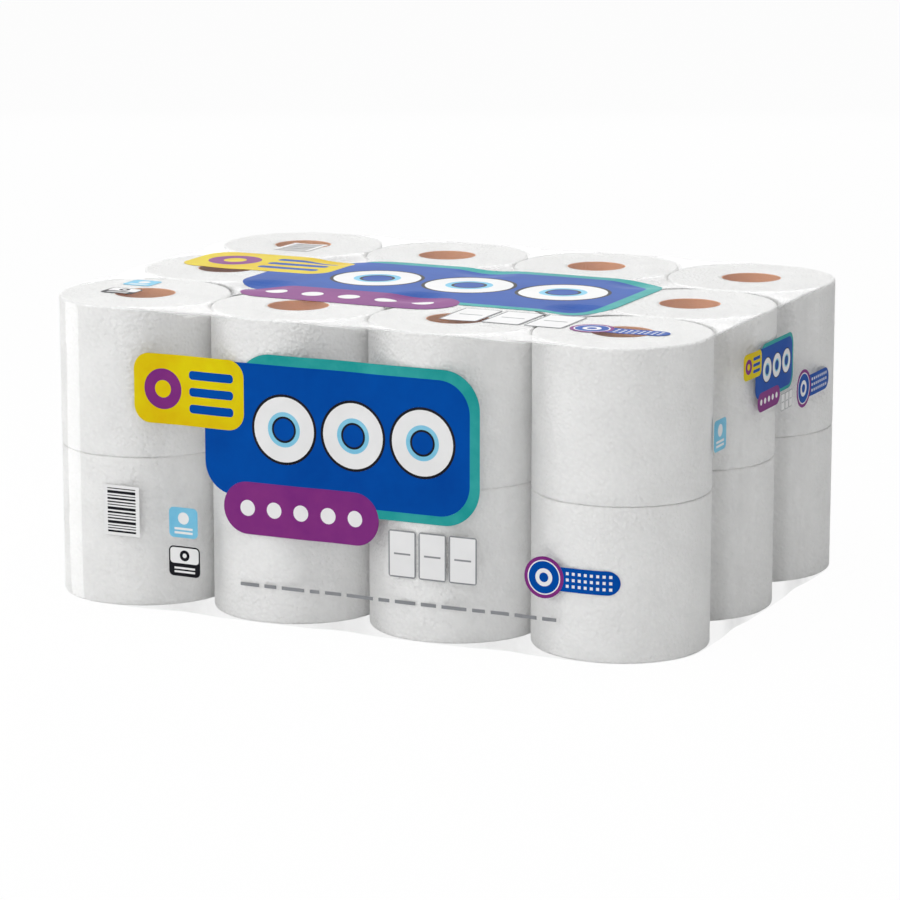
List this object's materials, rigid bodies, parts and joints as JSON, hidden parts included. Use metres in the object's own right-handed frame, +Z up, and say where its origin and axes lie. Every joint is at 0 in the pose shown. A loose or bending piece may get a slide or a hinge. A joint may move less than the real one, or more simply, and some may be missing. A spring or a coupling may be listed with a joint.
{
  "type": "toilet paper roll pack",
  "caption": "Bulk pack of toilet paper rolls standing on end in two layers, tightly wrapped in printed clear film.",
  "frame": {"origin": "middle of the pack's flat underside", "axes": "+X along the pack's length, four rolls, to the right of the printed front; +Y to the back; +Z up along the rolls"},
  "size_m": [0.476, 0.3573, 0.2086],
  "materials": {
    "tissue_paper": "soft white tissue, finely embossed, wound tight",
    "core_board": "plain brown spiral-wound board",
    "clear_film": "clear polyethylene film, glossy, drawn tight",
    "blue_ink": "flat printing ink on glossy film",
    "teal_ink": "flat printing ink on glossy film",
    "purple_ink": "flat printing ink on glossy film",
    "yellow_ink": "flat printing ink on glossy film",
    "white_ink": "flat printing ink on glossy film",
    "black_ink": "flat printing ink on glossy film",
    "light_blue_ink": "flat printing ink on glossy film",
    "grey_ink": "flat printing ink on glossy film"
  },
  "bodies": {
    "root": {"roll_lower_front_1": "tissue_paper", "roll_lower_front_2": "tissue_paper", "roll_lower_front_3": "tissue_paper", "roll_lower_front_4": "tissue_paper", "roll_lower_middle_1": "tissue_paper", "roll_lower_middle_2": "tissue_paper", "roll_lower_middle_3": "tissue_paper", "roll_lower_middle_4": "tissue_paper", "roll_lower_back_1": "tissue_paper", "roll_lower_back_2": "tissue_paper", "roll_lower_back_3": "tissue_paper", "roll_lower_back_4": "tissue_paper", "roll_upper_front_1": "tissue_paper", "roll_upper_front_2": "tissue_paper", "roll_upper_front_3": "tissue_paper", "roll_upper_front_4": "tissue_paper", "roll_upper_middle_1": "tissue_paper", "roll_upper_middle_2": "tissue_paper", "roll_upper_middle_3": "tissue_paper", "roll_upper_middle_4": "tissue_paper", "roll_upper_back_1": "tissue_paper", "roll_upper_back_2": "tissue_paper", "roll_upper_back_3": "tissue_paper", "roll_upper_back_4": "tissue_paper", "core_lower_front_1": "core_board", "core_lower_front_2": "core_board", "core_lower_front_3": "core_board", "core_lower_front_4": "core_board", "core_lower_middle_1": "core_board", "core_lower_middle_2": "core_board", "core_lower_middle_3": "core_board", "core_lower_middle_4": "core_board", "core_lower_back_1": "core_board", "core_lower_back_2": "core_board", "core_lower_back_3": "core_board", "core_lower_back_4": "core_board", "core_upper_front_1": "core_board", "core_upper_front_2": "core_board", "core_upper_front_3": "core_board", "core_upper_front_4": "core_board", "core_upper_middle_1": "core_board", "core_upper_middle_2": "core_board", "core_upper_middle_3": "core_board", "core_upper_middle_4": "core_board", "core_upper_back_1": "core_board", "core_upper_back_2": "core_board", "core_upper_back_3": "core_board", "core_upper_back_4": "core_board", "film_wrap": "clear_film", "ink_blue": "blue_ink", "ink_teal": "teal_ink", "ink_purple": "purple_ink", "ink_yellow": "yellow_ink", "ink_white": "white_ink", "ink_black": "black_ink", "ink_light_blue": "light_blue_ink", "ink_grey": "grey_ink"}
  },
  "joints": []
}
